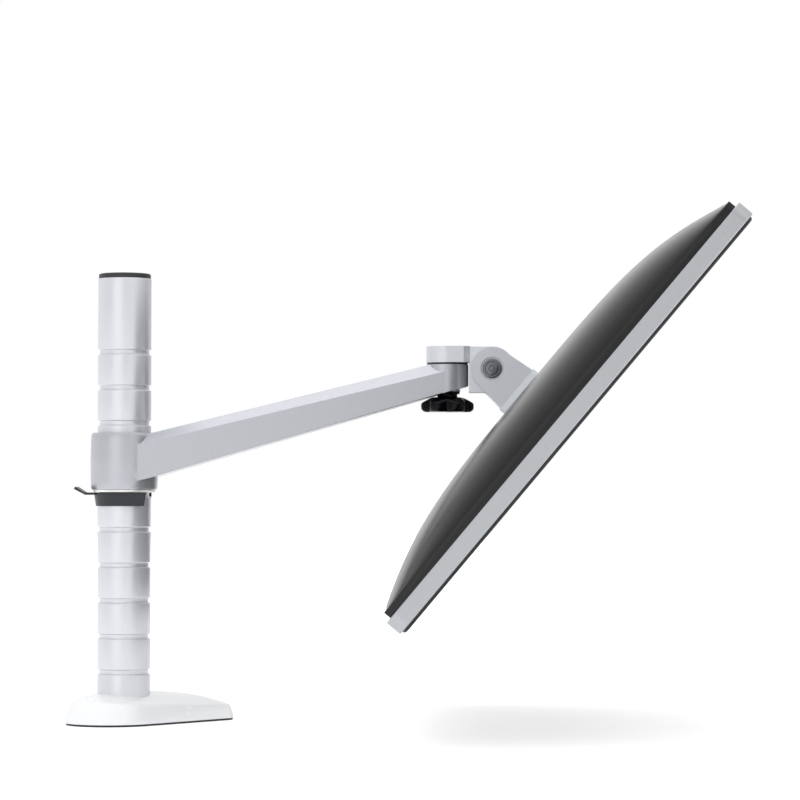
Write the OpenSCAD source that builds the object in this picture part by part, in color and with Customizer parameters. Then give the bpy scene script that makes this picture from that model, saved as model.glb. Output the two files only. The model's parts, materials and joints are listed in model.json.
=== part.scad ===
// Desktop monitor on a grooved pole with a rising arm, a swivel head and a tilting bracket.
// Millimetres. +Z up, the pole's axis on the Z axis, the desk at z = 0, the arm along +X.
// Display parts are drawn in the display's own frame: +X out of the screen, +Y across it, +Z up it,
// with the tilt axis through that frame's origin, and are then turned to the rest tilt.

/* [Pole] */
// Outer radius of the pole
pole_r = 22.5; // [20:0.5:25]
// Height of the tube's top edge above the desk
pole_top = 377; // [375:1:420]
// Wall of the pole tube
pole_wall = 4; // [3:0.5:5]
// Height of the lowest groove
groove_first = 44.2; // [44:0.1:44.4]
// Distance from groove to groove
groove_pitch = 30; // [30:1:32]
// Number of grooves
groove_count = 10; // [8:1:10]
// Depth of a groove
groove_depth = 1.6; // [1.2:0.1:2]
// Width of a groove at its mouth
groove_w = 3.9; // [3.7:0.1:4.5]

/* [Base] */
// How far the base's round end reaches behind the pole's axis
base_tail = 51.5; // [50:0.5:56]
// How far the base's nose reaches from the pole's axis
base_nose = 107; // [100:0.5:112]
// Radius of the base's round end
base_round = 41; // [40.5:0.5:44]
// Radius of the base's nose
nose_r = 14; // [9:0.5:16]
// Turn of the base's nose about the pole, away from the arm
base_turn = 36; // [0:1:40]
// Height of the base at the pole
base_h = 27.2; // [26:0.2:30]
// Height of the base's rim beside the pole
base_rim = 17.9; // [16:0.1:19]
// Thickness of the rubber pad
pad_t = 1.6; // [1:0.1:2]

/* [Arm] */
// Height of the collar's lower face above the desk
collar_z = 198; // [198:1:200]
// Height of the collar itself
collar_h = 48; // [44:1:48]
// Outer radius of the collar
collar_r = 28.5; // [28:0.25:30]
// Reach of the arm from the pole's axis to the swivel axis
arm_reach = 274; // [260:1:300]
// Half width of the beam at the collar
beam_half_in = 24.4; // [20:0.2:25]
// Half width of the beam at the knuckle, and the knuckle's radius
beam_half_out = 17.8; // [16:0.2:18]

/* [Head] */
// Reach from the pole's axis to the tilt axis
tilt_x = 312; // [311:1:314]
// Height of the tilt axis above the desk
tilt_z = 300; // [299:1:301]
// Angle of the screen below level at rest
tilt_rest = 40; // [30:1:45]
// Radius of the bracket's ears
ear_r = 18; // [16:0.5:18]
// Radius of the domed head of the tilt bolt
bolt_head_r = 8.1; // [7:0.1:8.5]
// Largest radius of the hand knob
knob_r = 22.8; // [20:0.2:23]

/* [Display] */
// Width of the display
disp_w = 632; // [600:1:650]
// Height of the display
disp_h = 415.5; // [404:0.5:430]
// How far the display's centre sits below the tilt axis
disp_drop = 0.4; // [0:0.1:2]
// Distance from the tilt axis to the aluminium band's rear edge
band_rear = 68.7; // [68.5:0.1:70]
// Depth of the aluminium band
band_d = 13.6; // [13:0.1:15]
// Thickness of the front glass edge
glass_t = 2.6; // [2:0.1:3]
// Corner radius of the display
disp_corner = 11; // [8:0.5:14]
// Height of the back cover's bulge over its edge step
bulge = 28.6; // [27.5:0.1:29]
// Height of the step at the back cover's edge
cover_step = 6.2; // [5.8:0.1:6.6]
// Thickness of the back cover
cover_t = 2.5; // [2:0.1:3]
// Distance between the plate screws, across and up
vesa_pitch = 100; // [100:1:100]

/* [Hidden] */
$fn = 64;

// Gaps: a running fit, a fit within one body, and the space kept between moving pieces
run_gap = 0.05;
fit_gap = 0.02;
air = 0.3;

// Stand
round_x = base_round - base_tail;
nose_x = base_nose - nose_r;
round_inset = 7.5;
nose_inset = 3.5;
rim_slope = 0.05;
dome_power = 2.8;
socket_z = 9;
plug_r = pole_r - pole_wall;
plug_h = 40;
plug_flange_r = 30;
plug_flange_t = 4;
desk_thread_r = 4.25;
desk_thread_depth = 32;
base_screw_ring = 24.5;
base_screw_r = 1.9;
base_screw_head = 3.6;
base_segments = 60;
groove_floor = 1.6;
groove_lip = 0.45;

// Height clip and washer
clip_groove_z = groove_first + 5 * groove_pitch;
clip_plate_z = clip_groove_z - 0.6;
clip_plate_t = 2;
clip_body_h = 9.5;
clip_reach = 20.8;
washer_z = 195.9;
washer_t = 1.9;

// Arm: heights of the beam's edges where they would cross the pole's axis, and their slopes
beam_bottom = 201;
beam_bottom_slope = 0.29;
beam_side = 232.2;
beam_side_slope = 0.2405;
beam_top = 239.8;
beam_top_slope = 0.2465;
beam_chamfer = 8;
beam_start = 6;
beam_foot = 0.5;
collar_bore = pole_r + 2.7;
knuckle_top = 303.9;
spot_z = 283;
spot_r = 11.6;
stud_r = 7;
thread_r = 4;
bush_wall = 2;

// Head
lug_z = 305.5;
lug_top = 319.4;
block_x = 292.2;
block_low = 280.3;
block_half = 13;
block_r = 19;
shaft_r = 5;
ear_in = 13.8;
ear_out = 18.5;
flange_n = 26.8;
flange_t = 5.3;
flange_half = 21;
flange_up = 22;
pivot_r = 8;

// Knob
knob_low = 263.5;
knob_high = 276.3;
knob_lobes = 6;
knob_flange_z = 279;
knob_flange_t = 2.2;
knob_flange_r = 10.6;

// Display
plate_n = 37.9;
plate_t = 2.6;
tray_t = 2.5;
tray_n = plate_n + plate_t;
tray_half = 75;
tray_top = 66;
tray_bottom = -105;
tray_wall = 3;
tray_rim_n = 37.2;
disp_u = -disp_drop;
disp_low = disp_u - disp_h / 2;
band_wall = 3.2;
band_front = band_rear + band_d;
glass_inset = 2.5;
cover_inset = 2.5;
wide_power = 10.5;
wide_round = 0.74;
high_power = 3.67;
high_round = 1.01;
high_skew = 0.045;
cols = 22;
rows = 14;
board_n = 54.5;
board_t = 1.6;
speaker_n = 58.5;
socket_u = -88;
pan_w = 622;
pan_h = 396;
pan_n = 70.9;
pan_t = 0.8;
cell_n = 77.3;
button_n = 75.5;
button_y = 200;
button_pitch = 17;
button_r = 2.6;
power_r = 3.4;
button_proud = 0.7;

silver = [0.80, 0.81, 0.83];
satin = [0.72, 0.73, 0.76];
steel = [0.55, 0.57, 0.60];
jet = [0.06, 0.06, 0.07];
slate = [0.22, 0.23, 0.25];
paint = [0.93, 0.93, 0.94];
board_green = [0.10, 0.32, 0.20];

// --- helpers ---

module display_frame() {
    translate([tilt_x, 0, tilt_z]) rotate([0, tilt_rest, 0]) children();
}

// A plate normal to the display frame's X: from n to n + t, centred on y = 0 and u, with round corners
module panel(n, t, w, h, r, u = disp_u) {
    translate([n, 0, u]) rotate([90, 0, 90]) linear_extrude(t) round_rect(w, h, r);
}

module round_rect(w, h, r) {
    union() {
        square([w - 2 * r, h], center = true);
        square([w, h - 2 * r], center = true);
        for (sx = [-1, 1], sy = [-1, 1])
            translate([sx * (w / 2 - r), sy * (h / 2 - r)]) circle(r);
    }
}

// A round bar along the display frame's X
module n_rod(n, length, r, y = 0, u = 0) {
    translate([n, y, u]) rotate([0, 90, 0]) cylinder(r = r, h = length);
}

// A round bar along Y through the tilt axis
module y_rod(y, length, r) {
    translate([0, y, 0]) rotate([-90, 0, 0]) cylinder(r = r, h = length);
}

module ring(z, h, r_in, r_out) {
    translate([0, 0, z]) difference() {
        cylinder(r = r_out, h = h);
        translate([0, 0, -1]) cylinder(r = r_in, h = h + 2);
    }
}

// --- stand ---

// A point of the base's outline in its own frame, with the nose along +X, where the outline faces angle a
function base_point(a, inset, scale) =
    let (nose = cos(a) > (base_round - nose_r) / (nose_x - round_x),
        r = nose ? nose_r - nose_inset * inset : base_round - round_inset * inset)
    [(nose ? nose_x : round_x) + r * cos(a), r * sin(a)] * scale;
function rim_z(a) = base_rim - rim_slope * base_point(a, 1, 1)[0];

// Rings up the side: share of the rim's inset and share of its height; rings over the top: share of reach
side_rings = [[0, 0], [0.12, 0.2], [0.4, 0.52], [0.7, 0.79], [0.88, 0.93], [1, 1]];
top_rings = [0.95, 0.88, 0.78, 0.65, 0.5, 0.3];

module base_shape() {
    n = base_segments;
    angles = [for (i = [0 : n - 1]) i * 360 / n];
    sides = [for (ring = side_rings, a = angles)
        let (p = base_point(a, ring[0], 1)) [p[0], p[1], pad_t + (rim_z(a) - pad_t) * ring[1]]];
    tops = [for (s = top_rings, a = angles)
        let (p = base_point(a, 1, s)) [p[0], p[1], rim_z(a) + (base_h - rim_z(a)) * (1 - pow(s, dome_power))]];
    count = len(side_rings) + len(top_rings);
    hub = count * n;
    walls = [for (k = [0 : count - 2], i = [0 : n - 1])
        let (a = k * n + i, b = a + n, c = (k + 1) * n + (i + 1) % n, d = k * n + (i + 1) % n)
        each [[a, b, c], [a, c, d]]];
    floor_face = [[for (i = [0 : n - 1]) i]];
    crown = [for (i = [0 : n - 1]) [(count - 1) * n + i, hub, (count - 1) * n + (i + 1) % n]];
    polyhedron(concat(sides, tops, [[0, 0, base_h]]), concat(walls, floor_face, crown));
}

module base_screw_places() {
    for (a = [60, 180, 300]) rotate([0, 0, a]) translate([base_screw_ring, 0, 0]) children();
}

module base_pad() {
    color(jet) difference() {
        rotate([0, 0, base_turn]) linear_extrude(pad_t) polygon([for (i = [0 : base_segments - 1])
            base_point(i * 360 / base_segments, 0.25, 1)]);
        translate([0, 0, -1]) cylinder(r = plug_flange_r + fit_gap, h = pad_t + 2);
    }
}

module base_casting() {
    color(paint) difference() {
        rotate([0, 0, base_turn]) base_shape();
        translate([0, 0, socket_z]) cylinder(r = pole_r + fit_gap, h = base_h);
        translate([0, 0, -1]) cylinder(r = plug_r + fit_gap, h = base_h);
        translate([0, 0, -1]) cylinder(r = plug_flange_r + fit_gap, h = plug_flange_t + fit_gap + 1);
        base_screw_places() cylinder(r = base_screw_r + fit_gap, h = 14.1);
    }
}

module base_screws() {
    color(steel) base_screw_places() {
        translate([0, 0, 0.4]) cylinder(r = base_screw_head, h = 2);
        translate([0, 0, 2]) cylinder(r = base_screw_r, h = 12);
    }
}

module pole_plug() {
    color(steel) difference() {
        union() {
            cylinder(r = plug_r, h = plug_h);
            cylinder(r = plug_flange_r, h = plug_flange_t);
        }
        translate([0, 0, -1]) cylinder(r = desk_thread_r, h = desk_thread_depth + 1);
        base_screw_places() {
            translate([0, 0, -1]) cylinder(r = base_screw_head + fit_gap, h = 3.4 + fit_gap);
            cylinder(r = base_screw_r + fit_gap, h = plug_flange_t + 1);
        }
    }
}

// The pole's outline beside one groove, from its lower lip to its upper lip
function groove_points(z) = [
    [pole_r, z - groove_w / 2 - groove_lip],
    [pole_r - 0.35, z - groove_w / 2],
    [pole_r - groove_depth, z - groove_floor],
    [pole_r - groove_depth, z + groove_floor],
    [pole_r - 0.35, z + groove_w / 2],
    [pole_r, z + groove_w / 2 + groove_lip]];

module pole_tube() {
    outline = concat(
        [[pole_r, socket_z + fit_gap]],
        [for (i = [0 : groove_count - 1]) each groove_points(groove_first + i * groove_pitch)],
        [[pole_r, pole_top - 0.6], [pole_r - 0.6, pole_top]],
        [[plug_r + fit_gap, pole_top], [plug_r + fit_gap, socket_z + fit_gap]]);
    color(silver) rotate_extrude($fn = 96) polygon(outline);
}

module pole_cap() {
    cap_r = pole_r - 0.5;
    color(jet) union() {
        translate([0, 0, pole_top - 8]) cylinder(r = plug_r - fit_gap, h = 8);
        rotate_extrude($fn = 96) polygon([[0, pole_top], [cap_r, pole_top], [cap_r, pole_top + 3.4],
            [cap_r - 1, pole_top + 4.4], [cap_r / 2, pole_top + 4.9], [0, pole_top + 5]]);
    }
}

// --- height carrier and clip ---

module thrust_washer() {
    color(paint) ring(washer_z, washer_t, pole_r + run_gap, collar_bore + 0.8);
}

// A U that is open along +X: a half ring behind the pole and two straight arms beside it
module u_shape(r_in, r_out, reach) {
    difference() {
        union() {
            circle(r_out);
            translate([0, -r_out]) square([reach, 2 * r_out]);
        }
        circle(r_in);
        translate([0, -r_in]) square([reach + r_out, 2 * r_in]);
        translate([reach, -r_out - 1]) square([r_out, 2 * r_out + 2]);
    }
}

// A tapered block that is open along +X around the pole: its radius and reach grow from low to high
module clip_block(z, h, r_low, r_high, reach_low, reach_high) {
    slot_r = pole_r + air;
    skin = 0.02;
    difference() {
        hull() {
            translate([0, 0, z]) linear_extrude(skin) clip_outline(r_low, reach_low);
            translate([0, 0, z + h - skin]) linear_extrude(skin) clip_outline(r_high, reach_high);
        }
        translate([0, 0, z - 1]) cylinder(r = slot_r, h = h + 2);
        translate([0, -slot_r, z - 1]) cube([reach_high + 1, 2 * slot_r, h + 2]);
    }
}

module clip_outline(r, reach) {
    intersection() {
        union() {
            circle(r);
            translate([0, -r]) square([reach, 2 * r]);
        }
        translate([-r, -r]) square([r + reach, 2 * r]);
    }
}

module clip_body() {
    color(slate)
        clip_block(clip_plate_z - clip_body_h, clip_body_h, pole_r + 1.4, pole_r + 2.8, clip_reach - 1.6, clip_reach);
}

module clip_plate() {
    tab_half = 13;
    neck = pole_r + 10.2;
    color(slate) union() {
        translate([0, 0, clip_plate_z]) linear_extrude(clip_plate_t)
            u_shape(pole_r - groove_depth + air, pole_r + 3.1, clip_reach);
        translate([0, tab_half, 0]) rotate([90, 0, 0]) linear_extrude(2 * tab_half) polygon([
            [-pole_r - 1, clip_plate_z], [-neck + 0.8, clip_plate_z], [-neck - 8.6, clip_plate_z + 5],
            [-neck - 7.6, clip_plate_z + 6.9], [-neck, clip_plate_z + clip_plate_t],
            [-pole_r - 1, clip_plate_z + clip_plate_t]]);
    }
}

// --- arm ---

beam_end_half = beam_half_out - 0.25;
function beam_half(x) = beam_half_in + (beam_end_half - beam_half_in) * (x - 14.7) / (arm_reach - 14.7);

// One cross-section of the beam: flat top, a 45 degree edge on each side, straight sides, flat bottom
function beam_section(x) =
    let (w = beam_half(x), top = beam_top + beam_top_slope * x, low = beam_bottom + beam_bottom_slope * x,
        side = beam_side + beam_side_slope * x, k = beam_chamfer)
    [[x, -w + beam_foot, low], [x, -w, low + beam_foot], [x, -w, side], [x, -w + k, top],
        [x, w - k, top], [x, w, side], [x, w, low + beam_foot], [x, w - beam_foot, low]];

module beam_shape() {
    near = beam_section(beam_start);
    far = beam_section(arm_reach);
    m = len(near);
    sides = [for (i = [0 : m - 1]) each [[i, (i + 1) % m, m + i], [(i + 1) % m, m + (i + 1) % m, m + i]]];
    ends = [[for (i = [m - 1 : -1 : 0]) i], [for (i = [0 : m - 1]) m + i]];
    polyhedron(concat(near, far), concat(sides, ends));
}

// The round knuckle, cut off along the beam's rising underside
module knuckle() {
    near = arm_reach - 30;
    far = arm_reach + 30;
    intersection() {
        translate([arm_reach, 0, collar_z]) cylinder(r = beam_half_out, h = knuckle_top - collar_z);
        translate([0, 30, 0]) rotate([90, 0, 0]) linear_extrude(60) polygon([
            [near, beam_bottom + beam_bottom_slope * near], [far, beam_bottom + beam_bottom_slope * far],
            [far, knuckle_top], [near, knuckle_top]]);
    }
}

module arm_casting() {
    color(satin) difference() {
        union() {
            intersection() {
                beam_shape();
                translate([0, -50, collar_z]) cube([arm_reach, 100, knuckle_top - collar_z]);
            }
            knuckle();
            rotate_extrude($fn = 96) polygon([[0, collar_z], [collar_r - 1.2, collar_z],
                [collar_r - 0.4, collar_z + 2], [collar_r, collar_z + collar_h / 2],
                [collar_r - 0.5, collar_z + collar_h - 2.5], [collar_r - 1.6, collar_z + collar_h],
                [0, collar_z + collar_h]]);
        }
        translate([0, 0, collar_z - 1]) cylinder(r = collar_bore, h = collar_h + 2);
        translate([arm_reach, 0, spot_z - 20]) cylinder(r = spot_r, h = 20);
        translate([arm_reach, 0, spot_z - 1])
            cylinder(r = stud_r + run_gap + bush_wall, h = knuckle_top - spot_z + 2);
    }
}

module collar_bush(z, flange_at) {
    color(jet) union() {
        ring(z, 12, pole_r + run_gap, collar_bore - fit_gap);
        ring(flange_at, 1, pole_r + run_gap, collar_bore - fit_gap);
    }
}

module upper_bush() {
    collar_bush(collar_z + collar_h - 12.4, collar_z + collar_h - 1.4);
}

module lower_bush() {
    collar_bush(collar_z + 0.2, collar_z + 0.2);
}

module knuckle_bush() {
    color(jet) translate([arm_reach, 0, 0])
        ring(spot_z + 0.2, knuckle_top - spot_z - 0.4, stud_r + run_gap,
            stud_r + run_gap + bush_wall - fit_gap);
}

// --- head ---

module head_casting() {
    lug_h = lug_top - lug_z;
    color(silver) difference() {
        union() {
            translate([arm_reach, 0, lug_z]) cylinder(r = beam_half_out, h = lug_h);
            translate([arm_reach, 0, lug_z]) linear_extrude(lug_h) polygon([
                [0, -beam_half_out], [14, -beam_half_out + 0.6], [block_x - arm_reach + 1, -block_half],
                [block_x - arm_reach + 1, block_half], [14, beam_half_out - 0.6], [0, beam_half_out]]);
            translate([block_x, -block_half, block_low])
                cube([tilt_x - block_x, 2 * block_half, tilt_z + block_r - block_low]);
            translate([tilt_x, 0, tilt_z]) y_rod(-block_half, 2 * block_half, block_r);
        }
        translate([arm_reach, 0, lug_z - 1]) cylinder(r = stud_r + fit_gap, h = lug_h - 2);
        translate([tilt_x, 0, tilt_z])
            y_rod(-block_half - 1, 2 * block_half + 2, shaft_r + run_gap + bush_wall);
    }
}

module swivel_stud() {
    color(steel) translate([arm_reach, 0, 0]) union() {
        translate([0, 0, spot_z + 0.3]) cylinder(r = stud_r, h = lug_top - spot_z - 3.6);
        translate([0, 0, knob_low + 2]) cylinder(r = thread_r, h = spot_z - knob_low);
    }
}

module swivel_washer() {
    gap = lug_z - knuckle_top;
    color(jet) translate([arm_reach, 0, 0])
        ring(knuckle_top + 0.3, gap - 0.3, stud_r + fit_gap, beam_half_out - 0.5);
}

// --- knob ---

module knob_grip() {
    core = knob_r - 4.6;
    lobe = 6;
    color(jet) translate([arm_reach, 0, 0]) difference() {
        union() {
            intersection() {
                translate([0, 0, knob_low]) linear_extrude(knob_high - knob_low) union() {
                    circle(core);
                    for (i = [0 : knob_lobes - 1]) rotate(i * 360 / knob_lobes)
                        translate([knob_r - lobe, 0]) circle(lobe);
                }
                rotate_extrude() polygon([[0, knob_low], [knob_r - 3.4, knob_low], [knob_r, knob_low + 3],
                    [knob_r, knob_low + 7], [knob_r - 5.4, knob_high - 2.7], [knob_r - 9, knob_high],
                    [0, knob_high]]);
            }
            translate([0, 0, knob_high - 0.5]) cylinder(r = 8.6, h = knob_flange_z - knob_high + 0.6);
            translate([0, 0, knob_flange_z]) cylinder(r = knob_flange_r, h = knob_flange_t);
        }
        translate([0, 0, knob_low + 1.5]) cylinder(r = 6.5, h = 20);
    }
}

module knob_insert() {
    color(steel) translate([arm_reach, 0, 0])
        ring(knob_low + 2, knob_flange_z + knob_flange_t - knob_low - 2, thread_r + run_gap, 6.5 - fit_gap);
}

module knob_washer() {
    z = knob_flange_z + knob_flange_t + fit_gap;
    color(steel) translate([arm_reach, 0, 0]) ring(z, spot_z - z - 0.2, thread_r + run_gap, 11);
}

// --- tilt bracket ---

module bracket_outline() {
    union() {
        circle(ear_r);
        polygon([[0, -ear_r], [flange_n + 1, -flange_half], [flange_n + 1, flange_half], [0, ear_r]]);
    }
}

module tilt_bracket() {
    color(satin) display_frame() difference() {
        union() {
            translate([0, ear_out, 0]) rotate([90, 0, 0]) linear_extrude(2 * ear_out) bracket_outline();
            panel(flange_n, flange_t, 2 * flange_half, 2 * flange_up, 4, 0);
        }
        intersection() {
            translate([-ear_r - 1, -ear_in, -30]) cube([flange_n + ear_r + 1, 2 * ear_in, 60]);
            union() {
                y_rod(-ear_in, 2 * ear_in, block_r + 2);
                translate([-30, -ear_in, -30]) cube([40, 2 * ear_in, 60]);
                n_rod(0, flange_n, 11.5);
            }
        }
        y_rod(-ear_out - 1, 2 * ear_out + 2, shaft_r + fit_gap);
        y_rod(-ear_out - 1, 3.2, bolt_head_r + 1.75);
        y_rod(ear_out - 2.2, 4, 7.6);
        n_rod(flange_n - 2, flange_t + 4, pivot_r + fit_gap);
    }
}

module tilt_bolt() {
    seat = -ear_out + 2.2;
    color(steel) translate([tilt_x, 0, tilt_z]) union() {
        y_rod(seat, ear_out - seat - 0.6, shaft_r);
        rotate([90, 0, 0]) rotate_extrude() polygon([[0, -seat], [bolt_head_r, -seat],
            [bolt_head_r, -seat + 1.5], [bolt_head_r - 0.5, -seat + 2.1], [bolt_head_r - 1.9, -seat + 2.3],
            [bolt_head_r - 2.1, -seat + 2], [bolt_head_r - 2.5, -seat + 2], [bolt_head_r - 2.7, -seat + 2.5],
            [3, -seat + 2.9], [2.8, -seat + 2.6], [2.4, -seat + 2.6], [2.2, -seat + 3], [0, -seat + 3.1]]);
    }
}

module tilt_nut() {
    color(steel) translate([tilt_x, 0, tilt_z]) difference() {
        y_rod(ear_out - 2.1, 3.4, 7.5);
        y_rod(ear_out - 3, 6, shaft_r + fit_gap);
    }
}

module tilt_bush() {
    color(jet) translate([tilt_x, 0, tilt_z]) difference() {
        y_rod(-block_half, 2 * block_half, shaft_r + run_gap + bush_wall - fit_gap);
        y_rod(-block_half - 1, 2 * block_half + 2, shaft_r + run_gap);
    }
}

module friction_washers() {
    color(steel) translate([tilt_x, 0, tilt_z]) for (y = [-ear_in + 0.05, block_half + 0.15])
        difference() {
            y_rod(y, ear_in - block_half - 0.2, 12);
            y_rod(y - 1, 3, shaft_r + fit_gap);
        }
}

module roll_pivot() {
    color(steel) display_frame() union() {
        n_rod(flange_n, plate_n + plate_t + air - flange_n, pivot_r);
        n_rod(plate_n + plate_t + air, 3, 12.5);
    }
}

module roll_washer() {
    n = flange_n + flange_t;
    color(jet) display_frame() difference() {
        n_rod(n + 0.05, plate_n - n - 0.25, 14);
        n_rod(n - 1, plate_n - n + 2, pivot_r + fit_gap);
    }
}

// --- display: mounting ---

module vesa_places() {
    for (y = [-1, 1], u = [-1, 1])
        translate([0, y * vesa_pitch / 2, u * vesa_pitch / 2]) children();
}

module cover_screw_places() {
    for (y = [-66, 66], u = [tray_bottom + 9, tray_top - 8]) translate([0, y, u]) children();
}

module vesa_plate() {
    color(silver) display_frame() difference() {
        panel(plate_n, plate_t, 115, 115, 6, 0);
        n_rod(plate_n - 1, 5, pivot_r + run_gap);
        vesa_places() n_rod(plate_n - 1, 5, 2.3);
    }
}

module vesa_screws() {
    color(steel) display_frame() vesa_places() {
        n_rod(plate_n - 2.2, 2.2, 3.8);
        n_rod(plate_n - 0.1, 10, 2);
    }
}

module socket_holes() {
    depth = tray_t + 2;
    for (s = [[-52, 10.6, 6], [-26, 16.6, 6.2], [2, 17.6, 6.2], [30, 14.6, 7.4], [48, 14.6, 7.4]])
        translate([tray_n - 1, s[0] - s[1] / 2, socket_u - s[2] / 2]) cube([depth, s[1], s[2]]);
    n_rod(tray_n - 1, depth, 5.3, -52, socket_u);
    n_rod(tray_n - 1, depth, 3.8, 64, socket_u);
}

module rear_tray() {
    color(slate) display_frame() difference() {
        panel(tray_rim_n, tray_n + tray_t - tray_rim_n, 2 * (tray_half - air), tray_top - tray_bottom - 2 * air,
            5, (tray_top + tray_bottom) / 2);
        panel(tray_rim_n - 1, tray_n - tray_rim_n + 1, 2 * (tray_half - air - tray_wall),
            tray_top - tray_bottom - 2 * (air + tray_wall), 3, (tray_top + tray_bottom) / 2);
        n_rod(tray_n - 1, 10, 14);
        vesa_places() n_rod(tray_n - 1, 10, 2.3);
        cover_screw_places() n_rod(tray_n - 1, 10, 1.6);
        socket_holes();
    }
}

// --- display: back cover ---

// Depth of the back over the band's rear plane, across the width (w) and height (v), both from -1 to 1
function across(w) = pow(max(0, 1 - pow(abs(w), wide_power)), wide_round);
function along(v) =
    pow(max(0, 1 - pow(abs(v - high_skew * (1 - v * v)), high_power)), high_round);
function cover_n(w, v) = band_rear - cover_step - bulge * across(w) * along(v);

// A closed block under the bulged back: the whole outline, with its back moved inwards by t
module bulged_block(t) {
    half_w = disp_w / 2 - cover_inset - t;
    half_h = disp_h / 2 - cover_inset - t;
    ws = [for (i = [0 : cols]) -cos(180 * i / cols)];
    vs = [for (j = [0 : rows]) -cos(180 * j / rows)];
    m = cols + 1;
    back = [for (v = vs, w = ws) [cover_n(w, v) + t, w * half_w, v * half_h + disp_u]];
    front = [for (v = vs, w = ws) [band_rear + t, w * half_w, v * half_h + disp_u]];
    total = len(back);
    cell = function (i, j) j * m + i;
    skin = [for (j = [0 : rows - 1], i = [0 : cols - 1]) each [
        [cell(i, j), cell(i + 1, j + 1), cell(i, j + 1)], [cell(i, j), cell(i + 1, j), cell(i + 1, j + 1)]]];
    rim = concat([for (i = [0 : cols]) cell(i, 0)], [for (j = [1 : rows]) cell(cols, j)],
        [for (i = [cols - 1 : -1 : 0]) cell(i, rows)], [for (j = [rows - 1 : -1 : 1]) cell(0, j)]);
    count = len(rim);
    front_rim = [for (k = rim) front[k]];
    walls = [for (k = [0 : count - 1])
        [rim[k], total + k, total + (k + 1) % count, rim[(k + 1) % count]]];
    hub = total + count;
    lid = [for (k = [0 : count - 1]) [total + k, hub, total + (k + 1) % count]];
    polyhedron(concat(back, front_rim, [[band_rear + t, 0, disp_u]]), concat(skin, walls, lid));
}

module back_cover() {
    color(slate) display_frame() difference() {
        intersection() {
            bulged_block(0);
            panel(20, band_rear - 20, disp_w - 2 * cover_inset, disp_h - 2 * cover_inset,
                disp_corner - cover_inset);
        }
        bulged_block(cover_t);
        translate([20, -tray_half, tray_bottom])
            cube([30, 2 * tray_half, tray_top - tray_bottom]);
    }
}

module cover_screws() {
    color(steel) display_frame() cover_screw_places() {
        n_rod(tray_n - 1.6, 1.6, 2.8);
        n_rod(tray_n - 0.1, 9, 1.5);
    }
}

module mount_plate() {
    color(steel) display_frame() difference() {
        panel(tray_n + tray_t + 0.1, 2.2, 146, 166, 6, (tray_top + tray_bottom) / 2);
        n_rod(tray_n, 10, 16);
        vesa_places() n_rod(tray_n, 10, 2 + fit_gap);
        cover_screw_places() n_rod(tray_n, 10, 1.5 + fit_gap);
        translate([tray_n, -62, socket_u - 7]) cube([10, 134, 14]);
    }
}

module mount_posts() {
    color(steel) display_frame() for (y = [-60, 60], u = [-52, 40])
        n_rod(tray_n + tray_t + 2.4, pan_n - tray_n - tray_t - 2.5, 5, y, u);
}

// --- display: boards and sockets ---

module main_board() {
    color(board_green) display_frame() union() {
        translate([board_n, -85, -138]) cube([board_t, 170, 76]);
        translate([board_n - 3, -20, -130]) cube([3, 30, 30]);
        translate([board_n - 8, -80, -132]) cube([8, 12, 26]);
        translate([board_n - 1.8, 34, -128]) cube([1.8, 14, 14]);
    }
}

module power_board() {
    color(board_green) display_frame() union() {
        translate([board_n, -50, -38]) cube([board_t, 100, 76]);
        n_rod(board_n - 9, 9, 8, -30, 22);
        n_rod(board_n - 7, 7, 5, 0, 24);
        translate([board_n - 8, 18, -26]) cube([8, 24, 28]);
    }
}

module board_standoffs() {
    color(steel) display_frame() {
        for (y = [-80, 80], u = [-132, -68]) n_rod(board_n + board_t, pan_n - board_n - board_t - 0.1, 3, y, u);
        for (y = [-44, 44], u = [-32, 32]) n_rod(board_n + board_t, pan_n - board_n - board_t - 0.1, 3, y, u);
    }
}

// A plug socket that faces back: an outer shell with a contact tongue that leaves no open pocket
module socket_shell(y, w, h, tongue) {
    depth = board_n - tray_n - 0.1;
    translate([tray_n + 0.1, y, socket_u]) union() {
        difference() {
            translate([0, -w / 2, -h / 2]) cube([depth - 0.05, w, h]);
            translate([-1, -w / 2 + 0.6, -h / 2 + 0.6]) cube([9, w - 1.2, h - 1.2]);
        }
        translate([1.2, -w / 2 + 1.4, -tongue / 2]) cube([9, w - 2.8, tongue]);
    }
}

module power_inlet() {
    color(jet) display_frame() difference() {
        union() {
            n_rod(tray_n + 0.1, board_n - tray_n - 0.15, 5, -52, socket_u);
            translate([tray_n + 3, -57, socket_u - 5]) cube([board_n - tray_n - 3.05, 10, 10]);
        }
        difference() {
            n_rod(tray_n - 1, 9, 3.2, -52, socket_u);
            n_rod(tray_n + 1.5, 9, 1, -52, socket_u);
        }
    }
}

module video_socket_a() {
    color(steel) display_frame() socket_shell(-26, 16, 5.6, 1.8);
}

module video_socket_b() {
    color(steel) display_frame() socket_shell(2, 17, 5.6, 2);
}

module usb_sockets() {
    color(steel) display_frame() {
        socket_shell(30, 14, 6.8, 2.4);
        socket_shell(48, 14, 6.8, 2.4);
    }
}

module audio_socket() {
    color(jet) display_frame() difference() {
        n_rod(tray_n + 0.1, board_n - tray_n - 0.15, 3.5, 64, socket_u);
        n_rod(tray_n - 1, 9, 1.8, 64, socket_u);
    }
}

module speaker(y) {
    color(jet) display_frame() difference() {
        translate([speaker_n, y - 35, -166]) cube([10, 70, 36]);
        translate([0, y, -148]) rotate([0, 90, 0]) translate([0, 0, speaker_n - 1])
            rotate_extrude() polygon([[6, 0], [15, 0], [15, 1], [6, 4]]);
    }
}

module speaker_left() {
    speaker(-215);
}

module speaker_right() {
    speaker(215);
}

// --- display: band and panel ---

module button_places() {
    for (i = [0 : 3]) translate([0, button_y + i * button_pitch, 0]) children();
}

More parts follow.
